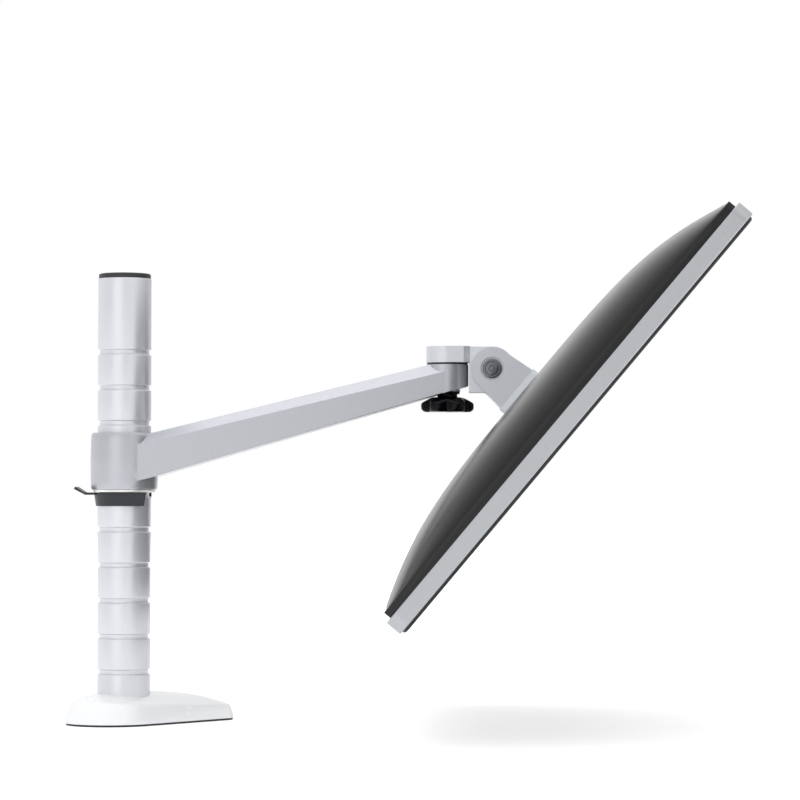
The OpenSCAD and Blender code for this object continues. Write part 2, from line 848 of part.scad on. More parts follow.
module frame_band() {
    color(satin) display_frame() difference() {
        panel(band_rear, band_d, disp_w, disp_h, disp_corner);
        panel(band_rear - 1, band_d + 2, disp_w - 30, disp_h - 30, 4);
        panel(band_rear + 2, band_d, disp_w - 2 * band_wall, disp_h - 2 * band_wall, disp_corner - band_wall);
        button_places() translate([button_n, 0, disp_low - 1]) cylinder(r = button_r + air, h = 8);
        translate([button_n, button_y + 4.4 * button_pitch, disp_low - 1]) cylinder(r = power_r + air, h = 8);
    }
}

module chassis_pan() {
    color(steel) display_frame() difference() {
        panel(pan_n, 6, pan_w, pan_h, 4, disp_u + 0.5);
        panel(pan_n + pan_t, 6, pan_w - 2 * pan_t, pan_h - 2 * pan_t, 3, disp_u + 0.5);
    }
}

module led_bar() {
    low = disp_u + 0.5 - pan_h / 2;
    color(paint) display_frame() translate([pan_n + 1.3, -300, low + 1.4]) cube([4, 600, 1.6]);
}

module light_guide() {
    color([0.85, 0.90, 0.95]) display_frame() panel(pan_n + 1.3, 4, pan_w - 4, pan_h - 9, 2, disp_u + 2.5);
}

module diffuser_films() {
    color([0.95, 0.95, 0.95]) display_frame() panel(pan_n + 5.4, 0.9, pan_w - 4, pan_h - 9, 2, disp_u + 2.5);
}

module lcd_cell() {
    color(jet) display_frame() panel(cell_n, 2.2, 616, 390, 2, disp_u + 2.5);
}

module glass_seal() {
    color(jet) display_frame() difference() {
        panel(cell_n + 2.3, 2.6, 622, 401, 6);
        panel(cell_n + 1, 5, 584, 366, 2);
    }
}

module front_glass() {
    color(jet) display_frame()
        panel(band_front, glass_t, disp_w - 2 * glass_inset, disp_h - 2 * glass_inset, disp_corner - 2);
}

module button_board() {
    low = disp_low + band_wall;
    color(board_green) display_frame()
        translate([button_n - 3, button_y - 8, low + 2.3]) cube([6, 5.4 * button_pitch + 4, 1]);
}

module button(y, r) {
    low = disp_low - button_proud;
    flange = disp_low + band_wall + air;
    color(satin) display_frame() translate([button_n, y, 0]) union() {
        translate([0, 0, low]) cylinder(r = r, h = flange - low);
        translate([0, 0, flange]) cylinder(r = r + 1, h = 0.9);
    }
}

module power_button() {
    button(button_y + 4.4 * button_pitch, power_r);
}

module menu_button_1() {
    button(button_y, button_r);
}

module menu_button_2() {
    button(button_y + button_pitch, button_r);
}

module menu_button_3() {
    button(button_y + 2 * button_pitch, button_r);
}

module menu_button_4() {
    button(button_y + 3 * button_pitch, button_r);
}

base_pad();
base_casting();
base_screws();
pole_plug();
pole_tube();
pole_cap();
thrust_washer();
clip_body();
clip_plate();
arm_casting();
upper_bush();
lower_bush();
knuckle_bush();
head_casting();
swivel_stud();
swivel_washer();
knob_grip();
knob_insert();
knob_washer();
tilt_bracket();
tilt_bolt();
tilt_nut();
tilt_bush();
friction_washers();
roll_pivot();
roll_washer();
vesa_plate();
vesa_screws();
rear_tray();
back_cover();
cover_screws();
mount_plate();
mount_posts();
main_board();
board_standoffs();
power_board();
power_inlet();
video_socket_a();
video_socket_b();
usb_sockets();
audio_socket();
speaker_left();
speaker_right();
frame_band();
chassis_pan();
led_bar();
light_guide();
diffuser_films();
lcd_cell();
glass_seal();
front_glass();
button_board();
power_button();
menu_button_1();
menu_button_2();
menu_button_3();
menu_button_4();
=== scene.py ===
"""Looks for the computer monitor on its rising arm: materials, edge-softened castings and smooth shells.

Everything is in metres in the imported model's own frame. Places come from the frame's nodes and joints.
"""
import json
import math

import bmesh
import bpy
from mathutils import Matrix, Vector


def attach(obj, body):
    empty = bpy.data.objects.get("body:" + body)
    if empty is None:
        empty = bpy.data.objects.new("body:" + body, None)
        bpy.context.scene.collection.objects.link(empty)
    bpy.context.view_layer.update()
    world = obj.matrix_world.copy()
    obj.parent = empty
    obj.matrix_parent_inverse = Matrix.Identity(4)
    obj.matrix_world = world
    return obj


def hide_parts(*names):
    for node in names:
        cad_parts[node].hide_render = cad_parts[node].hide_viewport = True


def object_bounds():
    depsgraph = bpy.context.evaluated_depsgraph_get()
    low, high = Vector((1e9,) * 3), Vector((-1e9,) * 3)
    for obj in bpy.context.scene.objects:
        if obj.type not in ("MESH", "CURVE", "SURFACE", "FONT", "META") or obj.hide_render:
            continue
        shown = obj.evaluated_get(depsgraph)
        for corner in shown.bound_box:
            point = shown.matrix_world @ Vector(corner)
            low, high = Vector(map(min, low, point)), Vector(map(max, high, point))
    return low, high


MM = 0.001
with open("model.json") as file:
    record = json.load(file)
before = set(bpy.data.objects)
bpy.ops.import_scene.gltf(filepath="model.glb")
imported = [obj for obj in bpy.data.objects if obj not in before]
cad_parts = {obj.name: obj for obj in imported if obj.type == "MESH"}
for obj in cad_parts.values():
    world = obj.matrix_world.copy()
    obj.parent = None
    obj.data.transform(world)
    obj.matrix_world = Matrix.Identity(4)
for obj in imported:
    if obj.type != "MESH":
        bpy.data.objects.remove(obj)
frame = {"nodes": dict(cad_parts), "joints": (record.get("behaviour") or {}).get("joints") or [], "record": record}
cad_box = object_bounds()
joints = {j["name"]: j for j in frame["joints"]}
node_slot = {s["node"]: s["material_slot"] for s in frame["record"]["subparts"]}
node_body = {n: b for b, members in frame["record"]["behaviour"]["bodies"].items() for n in members}

# The display's own frame: X out of the screen, Y across it, Z up it, from the tilt axis
screen_out = Vector(joints["roll"]["axis"]).normalized()
screen_up = Vector((-screen_out.z, 0, screen_out.x))
tilt_at = Vector(joints["tilt"]["pos_m"])
DISPLAY = Matrix.Translation(tilt_at) @ Matrix((screen_out, (0, 1, 0), screen_up)).transposed().to_4x4()


def local_box(node):
    """Lowest and highest corner of a CAD node in the display's frame."""
    back = DISPLAY.inverted()
    points = [back @ v.co for v in frame["nodes"][node].data.vertices]
    low = Vector([min(p[i] for p in points) for i in range(3)])
    high = Vector([max(p[i] for p in points) for i in range(3)])
    return low, high


# --- camera, light and floor ---

CAMERA_AT = Vector((0.300, -2.80, 0.189))
CAMERA_RISE = math.radians(1.74)
CAMERA_SHIFT = -0.0975
CAMERA_LENS = 148.5
SENSOR = 36.0

FLOOR_HALF = 14
FLOOR_DROP = 0.0002
FLOOR_GLOW = 0.32

# The light tent's lobes: direction, cosine where the lobe starts, brightness outside it and at its middle
TENT = [
    ((0, 0, 1), -0.1, 0.74, 1.15),
    ((0, -0.1, 1), 0.75, 0.0, 0.95),
    ((-0.41, -0.91, 0.05), 0.89, 0.0, 0.8),
    ((0.87, -0.5, 0.1), 0.7, 0.0, 0.35),
    ((-0.5, 0.8, 0.3), 0.2, 0.0, 0.25),
]


def add_camera():
    data = bpy.data.cameras.new("camera")
    data.lens = CAMERA_LENS
    data.sensor_width = SENSOR
    data.shift_x = CAMERA_SHIFT
    data.clip_end = 50
    camera = bpy.data.objects.new("camera", data)
    camera.location = CAMERA_AT
    camera.rotation_euler = (math.radians(90) + CAMERA_RISE, 0, 0)
    bpy.context.scene.collection.objects.link(camera)
    bpy.context.scene.camera = camera


def add_sun(name, direction, strength, spread):
    """A soft source that casts faint shadows; the direction is the way its light travels."""
    data = bpy.data.lights.new(name, "SUN")
    data.energy = strength
    data.angle = math.radians(spread)
    light = bpy.data.objects.new(name, data)
    light.rotation_euler = Vector(direction).to_track_quat("-Z", "Y").to_euler()
    light.visible_glossy = False
    bpy.context.scene.collection.objects.link(light)


def add_world():
    """White behind the object; what it reflects is a light tent, brightest overhead and in front."""
    world = bpy.data.worlds.new("studio")
    bpy.context.scene.world = world
    world.use_nodes = True
    tree = world.node_tree
    tree.nodes.clear()
    out = tree.nodes.new("ShaderNodeOutputWorld")
    mix = tree.nodes.new("ShaderNodeMixShader")
    path = tree.nodes.new("ShaderNodeLightPath")
    place = tree.nodes.new("ShaderNodeTexCoord")
    room = tree.nodes.new("ShaderNodeBackground")
    room.inputs["Color"].default_value = (1, 1, 1, 1)
    backdrop = tree.nodes.new("ShaderNodeBackground")
    backdrop.inputs["Color"].default_value = (1, 1, 1, 1)
    backdrop.inputs["Strength"].default_value = 1.0
    level = None
    for direction, start, low, high in TENT:
        lobe = tree.nodes.new("ShaderNodeVectorMath")
        lobe.operation = "DOT_PRODUCT"
        lobe.inputs[1].default_value = Vector(direction).normalized()
        span = tree.nodes.new("ShaderNodeMapRange")
        span.interpolation_type = "SMOOTHSTEP"
        span.inputs["From Min"].default_value = start
        span.inputs["From Max"].default_value = 1.0
        span.inputs["To Min"].default_value = low
        span.inputs["To Max"].default_value = high
        tree.links.new(place.outputs["Generated"], lobe.inputs[0])
        tree.links.new(lobe.outputs["Value"], span.inputs["Value"])
        if level is None:
            level = span.outputs["Result"]
        else:
            add = tree.nodes.new("ShaderNodeMath")
            tree.links.new(level, add.inputs[0])
            tree.links.new(span.outputs["Result"], add.inputs[1])
            level = add.outputs[0]
    tree.links.new(level, room.inputs["Strength"])
    tree.links.new(path.outputs["Is Camera Ray"], mix.inputs[0])
    tree.links.new(room.outputs[0], mix.inputs[1])
    tree.links.new(backdrop.outputs[0], mix.inputs[2])
    tree.links.new(mix.outputs[0], out.inputs["Surface"])


def add_floor():
    """A plain pale floor, faintly lit of itself so that the shadow under the display stays soft."""
    mesh = bpy.data.meshes.new("floor")
    half = FLOOR_HALF
    corners = [(-half, -half, 0), (half, -half, 0), (half, half, 0), (-half, half, 0)]
    mesh.from_pydata(corners, [], [(0, 1, 2, 3)])
    floor = bpy.data.objects.new("floor", mesh)
    floor.location.z = cad_box[0][2] - FLOOR_DROP
    bpy.context.scene.collection.objects.link(floor)
    material = bpy.data.materials.new("floor_white")
    material.use_nodes = True
    shader = material.node_tree.nodes["Principled BSDF"]
    shader.inputs["Base Color"].default_value = (0.82, 0.82, 0.82, 1)
    shader.inputs["Roughness"].default_value = 0.7
    shader.inputs["Specular IOR Level"].default_value = 0.1
    shader.inputs["Emission Color"].default_value = (1, 1, 1, 1)
    shader.inputs["Emission Strength"].default_value = FLOOR_GLOW
    mesh.materials.append(material)


add_camera()
add_world()
add_floor()
add_sun("front_sun", (0.10, 1.0, -0.16), 0.7, 8)
bpy.context.scene.view_settings.view_transform = "Standard"


# --- materials ---

def shader_of(material):
    return material.node_tree.nodes["Principled BSDF"]


def set_inputs(shader, values):
    for name, value in values.items():
        shader.inputs[name].default_value = value


def new_material(name, color, **values):
    material = bpy.data.materials.new(name)
    material.use_nodes = True
    shader = shader_of(material)
    shader.inputs["Base Color"].default_value = (*color, 1)
    set_inputs(shader, values)
    return material


def add_noise(tree, scale, detail=3.0, stretch=(1, 1, 1)):
    """A noise texture in the row frame, in cycles per metre."""
    place = tree.nodes.new("ShaderNodeTexCoord")
    mapping = tree.nodes.new("ShaderNodeMapping")
    mapping.inputs["Scale"].default_value = stretch
    noise = tree.nodes.new("ShaderNodeTexNoise")
    noise.inputs["Scale"].default_value = scale
    noise.inputs["Detail"].default_value = detail
    tree.links.new(place.outputs["Object"], mapping.inputs["Vector"])
    tree.links.new(mapping.outputs["Vector"], noise.inputs["Vector"])
    return noise


def vary_roughness(material, scale, low, high, stretch=(1, 1, 1)):
    tree = material.node_tree
    noise = add_noise(tree, scale, 4.0, stretch)
    span = tree.nodes.new("ShaderNodeMapRange")
    span.inputs["From Min"].default_value = 0.3
    span.inputs["From Max"].default_value = 0.7
    span.inputs["To Min"].default_value = low
    span.inputs["To Max"].default_value = high
    tree.links.new(noise.outputs["Fac"], span.inputs["Value"])
    tree.links.new(span.outputs["Result"], shader_of(material).inputs["Roughness"])


def vary_color(material, scale, dark, light, stretch=(1, 1, 1)):
    tree = material.node_tree
    noise = add_noise(tree, scale, 5.0, stretch)
    ramp = tree.nodes.new("ShaderNodeValToRGB")
    ramp.color_ramp.elements[0].position = 0.32
    ramp.color_ramp.elements[0].color = (*dark, 1)
    ramp.color_ramp.elements[1].position = 0.68
    ramp.color_ramp.elements[1].color = (*light, 1)
    tree.links.new(noise.outputs["Fac"], ramp.inputs["Fac"])
    tree.links.new(ramp.outputs["Color"], shader_of(material).inputs["Base Color"])


def add_grain(material, scale, strength, distance, stretch=(1, 1, 1)):
    """A fine bump, such as powder coat, bead blasting or a moulded texture."""
    tree = material.node_tree
    noise = add_noise(tree, scale, 2.0, stretch)
    bump = tree.nodes.new("ShaderNodeBump")
    bump.inputs["Strength"].default_value = strength
    bump.inputs["Distance"].default_value = distance
    tree.links.new(noise.outputs["Fac"], bump.inputs["Height"])
    tree.links.new(bump.outputs["Normal"], shader_of(material).inputs["Normal"])


def shade(color, factor):
    return tuple(min(1.0, c * factor) for c in color)


def coated_metal(name, color, metallic=0.55, rough=0.42):
    """Fine silver powder coat: metal flake under a thin matt binder."""
    material = new_material(name, color, Metallic=metallic)
    vary_color(material, 900, shade(color, 0.97), shade(color, 1.03))
    vary_roughness(material, 260, rough - 0.03, rough + 0.05)
    add_grain(material, 1500, 0.01, 0.00003)
    return material


def anodised(name, color, rough=0.30, stretch=(1, 1, 1), metallic=0.9):
    material = new_material(name, color, Metallic=metallic)
    vary_color(material, 700, shade(color, 0.985), shade(color, 1.01), stretch)
    vary_roughness(material, 500, rough - 0.03, rough + 0.05, stretch)
    add_grain(material, 2200, 0.03, 0.00004, stretch)
    return material


def moulded(name, color, rough=0.5, grain=0.25, scale=1800):
    material = new_material(name, color, **{"Specular IOR Level": 0.5})
    vary_color(material, 60, shade(color, 0.88), shade(color, 1.12))
    vary_roughness(material, 90, rough - 0.05, rough + 0.07)
    add_grain(material, scale, grain, 0.00015)
    return material


def glossy_plastic(name, color, rough, level=0.35):
    material = new_material(name, color, **{"Specular IOR Level": level})
    vary_color(material, 30, shade(color, 0.92), shade(color, 1.08))
    vary_roughness(material, 45, rough - 0.01, rough + 0.02)
    add_grain(material, 2600, 0.02, 0.00003)
    return material


def turned_steel(name, color, rough=0.28):
    material = new_material(name, color, Metallic=1.0)
    vary_color(material, 350, shade(color, 0.9), shade(color, 1.08), (1, 1, 9))
    vary_roughness(material, 420, rough - 0.05, rough + 0.1, (9, 1, 1))
    add_grain(material, 900, 0.12, 0.00008, (1, 12, 1))
    return material


def gloss_paint(name, color):
    material = new_material(name, color, **{"Coat Weight": 0.4, "Coat Roughness": 0.05})
    vary_color(material, 5, shade(color, 0.992), color)
    vary_roughness(material, 60, 0.24, 0.28)
    return material


def circuit_mask(name):
    """Green solder mask with paler copper tracks under it."""
    material = new_material(name, (0.02, 0.12, 0.05), Roughness=0.35)
    tree = material.node_tree
    place = tree.nodes.new("ShaderNodeTexCoord")
    brick = tree.nodes.new("ShaderNodeTexBrick")
    brick.inputs["Scale"].default_value = 160
    brick.inputs["Mortar Size"].default_value = 0.03
    brick.inputs["Color1"].default_value = (0.015, 0.10, 0.04, 1)
    brick.inputs["Color2"].default_value = (0.02, 0.13, 0.055, 1)
    brick.inputs["Mortar"].default_value = (0.05, 0.26, 0.10, 1)
    tree.links.new(place.outputs["Object"], brick.inputs["Vector"])
    tree.links.new(brick.outputs["Color"], shader_of(material).inputs["Base Color"])
    return material


def screen_glass(name, half_w, half_h):
    """Black-printed border glass over a switched-off panel, told apart by the piece's own UV in metres."""
    border = (0.0035, 0.0035, 0.004, 1)
    panel = (0.011, 0.0115, 0.014, 1)
    material = new_material(name, border[:3], **{"Specular IOR Level": 0.4})
    tree = material.node_tree
    uv = tree.nodes.new("ShaderNodeUVMap")
    split = tree.nodes.new("ShaderNodeSeparateXYZ")
    tree.links.new(uv.outputs["UV"], split.inputs["Vector"])
    inside = []
    for axis, half in (("X", half_w), ("Y", half_h)):
        size = tree.nodes.new("ShaderNodeMath")
        size.operation = "ABSOLUTE"
        less = tree.nodes.new("ShaderNodeMath")
        less.operation = "LESS_THAN"
        less.inputs[1].default_value = half
        tree.links.new(split.outputs[axis], size.inputs[0])
        tree.links.new(size.outputs[0], less.inputs[0])
        inside.append(less)
    both = tree.nodes.new("ShaderNodeMath")
    both.operation = "MULTIPLY"
    tree.links.new(inside[0].outputs[0], both.inputs[0])
    tree.links.new(inside[1].outputs[0], both.inputs[1])
    mix = tree.nodes.new("ShaderNodeMix")
    mix.data_type = "RGBA"
    mix.inputs[6].default_value = border
    mix.inputs[7].default_value = panel
    tree.links.new(both.outputs[0], mix.inputs[0])
    tree.links.new(mix.outputs[2], shader_of(material).inputs["Base Color"])
    vary_roughness(material, 14, 0.03, 0.07)
    return material


SCREEN_W = 0.582
SCREEN_H = 0.364

MATERIALS = {
    "pad_rubber": moulded("pad_rubber", (0.018, 0.018, 0.018), 0.75, 0.5, 900),
    "base_paint": gloss_paint("base_paint", (0.67, 0.68, 0.695)),
    "zinc_steel": turned_steel("zinc_steel", (0.55, 0.56, 0.58)),
    "pole_anodised": anodised("pole_anodised", (0.58, 0.59, 0.62), 0.34, (1, 1, 0.05), 0.6),
    "cap_plastic": moulded("cap_plastic", (0.014, 0.014, 0.015), 0.5),
    "liner_plastic": moulded("liner_plastic", (0.012, 0.012, 0.013), 0.45, 0.1),
    "nylon_white": moulded("nylon_white", (0.75, 0.75, 0.73), 0.45, 0.1),
    "clip_plastic": moulded("clip_plastic", (0.007, 0.008, 0.013), 0.45, 0.1),
    "arm_metal": coated_metal("arm_metal", (0.42, 0.43, 0.46), 0.68, 0.33),
    "head_metal": coated_metal("head_metal", (0.57, 0.585, 0.615)),
    "bracket_metal": coated_metal("bracket_metal", (0.47, 0.485, 0.51)),
    "knob_plastic": glossy_plastic("knob_plastic", (0.0012, 0.0012, 0.002), 0.14, 0.12),
    "insert_brass": turned_steel("insert_brass", (0.62, 0.44, 0.18)),
    "bolt_steel": turned_steel("bolt_steel", (0.15, 0.16, 0.175), 0.28),
    "plate_metal": coated_metal("plate_metal", (0.52, 0.53, 0.55)),
    "tray_plastic": moulded("tray_plastic", (0.012, 0.012, 0.013), 0.55, 0.35, 1400),
    "back_plastic": glossy_plastic("back_plastic", (0.004, 0.0042, 0.005), 0.22),
    "circuit_board": circuit_mask("circuit_board"),
    "socket_plastic": moulded("socket_plastic", (0.01, 0.01, 0.01), 0.4, 0.1),
    "socket_metal": turned_steel("socket_metal", (0.66, 0.66, 0.67), 0.22),
    "speaker_plastic": moulded("speaker_plastic", (0.012, 0.012, 0.012), 0.6),
    "band_metal": anodised("band_metal", (0.40, 0.41, 0.43), 0.36),
    "led_strip": moulded("led_strip", (0.75, 0.75, 0.72), 0.4, 0.05),
    "guide_acrylic": glossy_plastic("guide_acrylic", (0.72, 0.76, 0.78), 0.1),
    "film_plastic": moulded("film_plastic", (0.80, 0.80, 0.80), 0.5, 0.05),
    "panel_glass": glossy_plastic("panel_glass", (0.01, 0.01, 0.012), 0.1),
    "seal_foam": moulded("seal_foam", (0.01, 0.01, 0.01), 0.9, 0.6, 700),
    "front_glass": screen_glass("front_glass", SCREEN_W / 2, SCREEN_H / 2),
    "button_metal": anodised("button_metal", (0.62, 0.63, 0.65), 0.34),
}

for node, thing in frame["nodes"].items():
    thing.data.materials.clear()
    thing.data.materials.append(MATERIALS[node_slot[node]])


# --- pieces ---

# Distances in metres within which corners are one, in the CAD's meshes and where a turned path closes
CAD_WELD = 0.000004
SEAM_WELD = 0.0000002
# Degrees between faces that still count as flat, and the least at which an edge is rounded
FLAT_ANGLE = 0.3
EDGE_ANGLE = 35
EDGE_SEGMENTS = 3
# The edges picked out for a larger rounding: least angle in radians, and steps
PICK_ANGLE = 0.6
PICK_SEGMENTS = 5
ARC_STEPS = 4


def finish_piece(name, mesh, node, crease=None):
    """Links a mesh as the piece that stands for a CAD node, on that node's body and in its finish."""
    mesh.materials.clear()
    mesh.materials.append(MATERIALS[node_slot[node]])
    mesh.shade_smooth()
    if crease is not None:
        mesh.set_sharp_from_angle(angle=math.radians(crease))
    piece = bpy.data.objects.new(name, mesh)
    bpy.context.scene.collection.objects.link(piece)
    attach(piece, node_body[node])
    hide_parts(node)
    return piece


def clean_copy(node, name):
    """The CAD node's mesh, welded and with its flat faces made whole."""
    shape = bmesh.new()
    shape.from_mesh(frame["nodes"][node].data)
    bmesh.ops.remove_doubles(shape, verts=shape.verts, dist=CAD_WELD)
    bmesh.ops.dissolve_limit(shape, angle_limit=math.radians(FLAT_ANGLE), verts=shape.verts,
                             edges=shape.edges)
    return bpy.data.meshes.new(name), shape


def soften(node, width, picks=(), reshape=None):
    """The CAD node's own shape with its sharp edges rounded over by width, in millimetres.

    Each of picks is a test for an edge and a larger width, for the edges that are rounded first.
    A reshape function may move the corners before that.
    """
    mesh, shape = clean_copy(node, node + "_soft")
    if reshape:
        reshape(shape)
    for test, wide in picks:
        chosen = [e for e in shape.edges
                  if len(e.link_faces) == 2 and e.calc_face_angle() > PICK_ANGLE and test(e)]
        bmesh.ops.bevel(shape, geom=chosen, offset=wide * MM, segments=PICK_SEGMENTS, profile=0.5,
                        affect="EDGES", clamp_overlap=True)
    shape.to_mesh(mesh)
    shape.free()
    piece = finish_piece(node + "_soft", mesh, node)
    bevel = piece.modifiers.new("edges", "BEVEL")
    bevel.limit_method = "ANGLE"
    bevel.angle_limit = math.radians(EDGE_ANGLE)
    bevel.width = width * MM
    bevel.segments = EDGE_SEGMENTS
    bevel.miter_outer = "MITER_ARC"
    weight = piece.modifiers.new("normals", "WEIGHTED_NORMAL")
    weight.keep_sharp = True
    return piece


def rounded(path, radii):
    """A path of (r, z) points with its corners replaced by arcs; one radius for each point, 0 to keep it."""
    out = []
    count = len(path)
    for i, (point, radius) in enumerate(zip(path, radii)):
        here = Vector(point)
        if radius == 0 or i in (0, count - 1):
            out.append(here)
            continue
        back = Vector(path[i - 1]) - here
        ahead = Vector(path[i + 1]) - here
        reach = min(radius, back.length * 0.48, ahead.length * 0.48)
        start = here + back.normalized() * reach
        end = here + ahead.normalized() * reach
        for k in range(ARC_STEPS + 1):
            t = k / ARC_STEPS
            out.append(start * (1 - t) ** 2 + here * 2 * t * (1 - t) + end * t ** 2)
    return out


def lathe(name, node, path, place=Matrix.Identity(4), segments=128, crease=40):
    """A turned piece: the path's (r, z) points in millimetres, spun about the Z axis of place."""
    shape = bmesh.new()
    rings = []
    for r, z in path:
        if r < 1e-6:
            rings.append([shape.verts.new(place @ Vector((0, 0, z * MM)))])
            continue
        ring = []
        for i in range(segments):
            a = 2 * math.pi * i / segments
            ring.append(shape.verts.new(place @ Vector((r * math.cos(a) * MM, r * math.sin(a) * MM, z * MM))))
        rings.append(ring)
    for low, high in zip(rings, rings[1:]):
        for i in range(segments):
            j = (i + 1) % segments
            if len(low) == 1:
                shape.faces.new((low[0], high[j], high[i]))
            elif len(high) == 1:
                shape.faces.new((low[i], low[j], high[0]))
            else:
                shape.faces.new((low[i], low[j], high[j], high[i]))
    bmesh.ops.remove_doubles(shape, verts=shape.verts, dist=SEAM_WELD)
    bmesh.ops.recalc_face_normals(shape, faces=shape.faces)
    mesh = bpy.data.meshes.new(name)
    shape.to_mesh(mesh)
    shape.free()
    return finish_piece(name, mesh, node, crease)


def from_rings(name, node, rings, crease):
    """A closed skin over rings of points that all have the same count, with a flat face at each end."""
    shape = bmesh.new()
    rows = [[shape.verts.new(point) for point in ring] for ring in rings]
    count = len(rows[0])
    for low, high in zip(rows, rows[1:]):
        for i in range(count):
            j = (i + 1) % count
            shape.faces.new((low[i], low[j], high[j], high[i]))
    shape.faces.new(list(reversed(rows[0])))
    shape.faces.new(rows[-1])
    bmesh.ops.recalc_face_normals(shape, faces=shape.faces)
    mesh = bpy.data.meshes.new(name)
    shape.to_mesh(mesh)
    shape.free()
    return finish_piece(name, mesh, node, crease)


# --- the pole and its cap ---

POLE_R = 22.5
POLE_TOP = 377
POLE_FOOT = 9.1
GROOVE_FIRST = 44.2
GROOVE_PITCH = 30
GROOVES = 10
# Half heights of a groove at its mouth and its floor, its depth, and the tube's wall
GROOVE_MOUTH = 2.3
GROOVE_FLOOR = 1.62
GROOVE_DEPTH = 1.6
POLE_WALL = 3.9


def pole_path():
    """The tube's wall in section: the grooved outside and the plain bore."""
    path = [(POLE_R - POLE_WALL, POLE_FOOT), (POLE_R, POLE_FOOT)]
    radii = [0, 0]
    for i in range(GROOVES):
        z = GROOVE_FIRST + i * GROOVE_PITCH
        path += [(POLE_R, z - GROOVE_MOUTH), (POLE_R - GROOVE_DEPTH, z - GROOVE_FLOOR),
                 (POLE_R - GROOVE_DEPTH, z + GROOVE_FLOOR), (POLE_R, z + GROOVE_MOUTH)]
        radii += [0.55, 0.2, 0.2, 0.55]
    path += [(POLE_R, POLE_TOP), (POLE_R - POLE_WALL, POLE_TOP), (POLE_R - POLE_WALL, POLE_FOOT)]
    radii += [0.6, 0, 0]
    return rounded(path, radii)


lathe("pole", "pole_tube", pole_path(), segments=160, crease=50)
CAP_R = POLE_R - 0.5
lathe("pole_cap_dome", "pole_cap", rounded(
    [(0, POLE_TOP - 8), (18.4, POLE_TOP - 8), (18.4, POLE_TOP), (CAP_R, POLE_TOP), (CAP_R, POLE_TOP + 4.1),
     (CAP_R * 0.55, POLE_TOP + 4.85), (0, POLE_TOP + 5)], [0, 0.4, 0, 0.2, 1.6, 4, 0]))


# --- the base ---

ROUND_R, ROUND_X, NOSE_R, NOSE_X = 41, -10.5, 14, 93
ROUND_INSET, NOSE_INSET = 7.5, 3.5
BASE_TURN = math.radians(36)
PAD_T, RIM_Z, RIM_SLOPE, DOME_Z = 1.6, 17.9, 0.05, 27.2
DOME_POWER = 2.8
NOSE_STEPS, TAIL_STEPS, SIDE_STEPS = 24, 56, 16
# Shares of the rim's height and of its inset, up the side, and then shares of the reach, over the top
SIDE_RINGS = ((0.2, 0.12), (0.36, 0.25), (0.52, 0.4), (0.66, 0.55), (0.79, 0.7), (0.9, 0.84), (0.96, 0.93))
TOP_RINGS = (0.97, 0.93, 0.88, 0.82, 0.75, 0.68, 0.6, 0.52, 0.45, 0.38, 0.3, 0.22)


def base_outline(inset):
    """The base's outline in its own frame at a share of the rim's inset: two arcs and two straight sides."""
    lean = math.acos((ROUND_R - NOSE_R) / (NOSE_X - ROUND_X))
    big = ROUND_R - ROUND_INSET * inset
    small = NOSE_R - NOSE_INSET * inset
    nose = [(NOSE_X + small * math.cos(a), small * math.sin(a)) for a in
            [-lean + 2 * lean * i / NOSE_STEPS for i in range(NOSE_STEPS + 1)]]
    tail = [(ROUND_X + big * math.cos(a), big * math.sin(a)) for a in
            [lean + 2 * (math.pi - lean) * i / TAIL_STEPS for i in range(TAIL_STEPS + 1)]]
    side = [tuple(nose[-1][k] + (tail[0][k] - nose[-1][k]) * i / SIDE_STEPS for k in (0, 1))
            for i in range(1, SIDE_STEPS)]
    back = [tuple(tail[-1][k] + (nose[0][k] - tail[-1][k]) * i / SIDE_STEPS for k in (0, 1))
            for i in range(1, SIDE_STEPS)]
    return nose + side + tail + back


def base_ring(inset, rise, scale=1.0):
    """One ring of the base: share of the inset, share of the rim's height, share of the reach."""
    turn = Matrix.Rotation(BASE_TURN, 3, "Z")
    ring = []
    for (x, y), (rim_x, _) in zip(base_outline(inset), base_outline(1)):
        rim = RIM_Z - RIM_SLOPE * rim_x
        z = PAD_T + (rim - PAD_T) * rise
        if scale < 1:
            z = rim + (DOME_Z - rim) * (1 - scale ** DOME_POWER)
        ring.append(turn @ Vector((x * scale * MM, y * scale * MM, z * MM)))
    return ring


def add_base():
    rings = [base_ring(0.03, 0.0), base_ring(0.0, 0.03)]
    for rise, inset in SIDE_RINGS:
        rings.append(base_ring(inset, rise))
    rings.append(base_ring(1.0, 1.0))
    for scale in TOP_RINGS:
        rings.append(base_ring(1.0, 1.0, scale))
    shell = from_rings("base_shell", "base_casting", rings, 80)
    shell.modifiers.new("normals", "WEIGHTED_NORMAL")


add_base()


# --- the display's band, glass and back ---

BAND_LOW, BAND_HIGH = local_box("frame_band")
HALF_W = (BAND_HIGH.y - BAND_LOW.y) / 2
HALF_H = (BAND_HIGH.z - BAND_LOW.z) / 2
MID_U = (BAND_HIGH.z + BAND_LOW.z) / 2
CORNER = 11 * MM
CORNER_STEPS = 10
# How far a corner may lie from the band's outline and from its plane and still be on them, in metres
OUTLINE_SLACK = 0.00012
PLANE_SLACK = 0.0001


def rounded_rect(half_w, half_h, corner):
    """Points of a round-cornered rectangle, anticlockwise."""
    points = []
    for sx, sy, start in ((1, 1, 0), (-1, 1, 90), (-1, -1, 180), (1, -1, 270)):
        for i in range(CORNER_STEPS + 1):
            a = math.radians(start + 90 * i / CORNER_STEPS)
            points.append((sx * (half_w - corner) + corner * math.cos(a),
                           sy * (half_h - corner) + corner * math.sin(a)))
    return points


def display_ring(n, half_w, half_h, corner):
    return [DISPLAY @ Vector((n, y, u + MID_U)) for y, u in rounded_rect(half_w, half_h, corner)]


